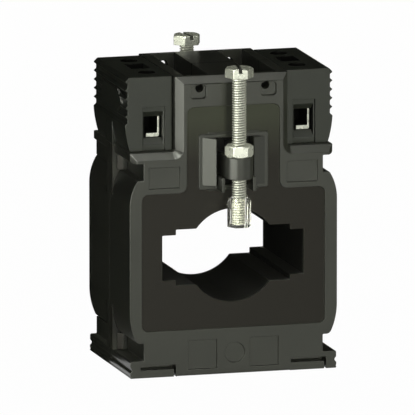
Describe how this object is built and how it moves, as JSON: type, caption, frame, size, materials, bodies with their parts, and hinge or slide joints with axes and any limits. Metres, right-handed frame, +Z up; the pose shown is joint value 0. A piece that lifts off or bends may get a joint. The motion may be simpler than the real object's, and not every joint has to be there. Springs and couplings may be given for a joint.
{
  "type": "current transformer",
  "caption": "Low voltage window type current transformer: black two-part housing with stepped bar and cable window, side terminals with rising cages and clamp screws.",
  "frame": {"origin": "middle of the bottom face of the whole object's bounding box", "axes": "+Z up, -Y towards the front face with the marking plates, X across the terminals"},
  "size_m": [0.06, 0.0616, 0.0877],
  "materials": {
    "housing_plastic": "finely grained black thermoplastic",
    "sleeve_plastic": "moulded black thermoplastic",
    "block_plastic": "moulded black thermoplastic",
    "core_steel": "wound electrical steel strip",
    "winding_copper": "enamelled copper wire",
    "wrap_tape": "polyester tape",
    "ring_board": "pressboard",
    "lead_insulation": "silicone insulation",
    "tinned_rail": "tinned brass",
    "plated_steel": "zinc plated",
    "clear_cap": "translucent polyamide"
  },
  "bodies": {
    "housing": {"front_shell": "housing_plastic", "rear_shell": "housing_plastic", "window_sleeve": "sleeve_plastic", "core": "core_steel", "secondary_winding": "winding_copper", "winding_wrap": "wrap_tape", "coil_ring_front": "ring_board", "coil_ring_rear": "ring_board", "lead_left": "lead_insulation", "lead_right": "lead_insulation", "terminal_block_left": "block_plastic", "terminal_block_right": "block_plastic", "contact_rail_left": "tinned_rail", "contact_rail_right": "tinned_rail", "clamp_nut_front": "plated_steel", "clamp_nut_rear": "plated_steel"},
    "cap_front": {"clamp_cap_front": "clear_cap"},
    "screw_front": {"clamp_screw_front": "plated_steel"},
    "cage_front_left": {"cage_front_left": "plated_steel"},
    "terminal_screw_front_left": {"terminal_screw_front_left": "plated_steel"},
    "cage_front_right": {"cage_front_right": "plated_steel"},
    "terminal_screw_front_right": {"terminal_screw_front_right": "plated_steel"},
    "cap_rear": {"clamp_cap_rear": "clear_cap"},
    "screw_rear": {"clamp_screw_rear": "plated_steel"},
    "cage_rear_left": {"cage_rear_left": "plated_steel"},
    "terminal_screw_rear_left": {"terminal_screw_rear_left": "plated_steel"},
    "cage_rear_right": {"cage_rear_right": "plated_steel"},
    "terminal_screw_rear_right": {"terminal_screw_rear_right": "plated_steel"}
  },
  "joints": [
    {"name": "clamp_front_slide", "type": "slide", "parent": "housing", "child": "cap_front", "axis": [0, 0, 1], "range_m": [-0.019, 0.005]},
    {"name": "clamp_front_spin", "type": "hinge", "parent": "cap_front", "child": "screw_front", "pos_m": [0, -0.027, 0.065], "axis": [0, 0, 1], "range_deg": [-9800, 2600]},
    {"name": "cage_front_left_lift", "type": "slide", "parent": "housing", "child": "cage_front_left", "axis": [0, 0, 1], "range_m": [0, 0.0042]},
    {"name": "terminal_front_left_spin", "type": "hinge", "parent": "housing", "child": "terminal_screw_front_left", "pos_m": [-0.0217, -0.0093, 0.078], "axis": [0, 0, 1], "range_deg": [-3060, 20]},
    {"name": "cage_front_right_lift", "type": "slide", "parent": "housing", "child": "cage_front_right", "axis": [0, 0, 1], "range_m": [0, 0.0042]},
    {"name": "terminal_front_right_spin", "type": "hinge", "parent": "housing", "child": "terminal_screw_front_right", "pos_m": [0.0217, -0.0093, 0.078], "axis": [0, 0, 1], "range_deg": [-3060, 20]},
    {"name": "clamp_rear_slide", "type": "slide", "parent": "housing", "child": "cap_rear", "axis": [0, 0, 1], "range_m": [-0.019, 0.005]},
    {"name": "clamp_rear_spin", "type": "hinge", "parent": "cap_rear", "child": "screw_rear", "pos_m": [0, 0.027, 0.065], "axis": [0, 0, 1], "range_deg": [-9800, 2600]},
    {"name": "cage_rear_left_lift", "type": "slide", "parent": "housing", "child": "cage_rear_left", "axis": [0, 0, 1], "range_m": [0, 0.0042]},
    {"name": "terminal_rear_left_spin", "type": "hinge", "parent": "housing", "child": "terminal_screw_rear_left", "pos_m": [-0.0217, 0.0093, 0.078], "axis": [0, 0, 1], "range_deg": [-3060, 20]},
    {"name": "cage_rear_right_lift", "type": "slide", "parent": "housing", "child": "cage_rear_right", "axis": [0, 0, 1], "range_m": [0, 0.0042]},
    {"name": "terminal_rear_right_spin", "type": "hinge", "parent": "housing", "child": "terminal_screw_rear_right", "pos_m": [0.0217, 0.0093, 0.078], "axis": [0, 0, 1], "range_deg": [-3060, 20]}
  ],
  "couplings": [
    {"joint": "clamp_front_spin", "follows": "clamp_front_slide", "rad_per_m": 8976},
    {"joint": "terminal_front_left_spin", "follows": "cage_front_left_lift", "rad_per_m": -12566},
    {"joint": "terminal_front_right_spin", "follows": "cage_front_right_lift", "rad_per_m": -12566},
    {"joint": "clamp_rear_spin", "follows": "clamp_rear_slide", "rad_per_m": 8976},
    {"joint": "terminal_rear_left_spin", "follows": "cage_rear_left_lift", "rad_per_m": -12566},
    {"joint": "terminal_rear_right_spin", "follows": "cage_rear_right_lift", "rad_per_m": -12566}
  ]
}
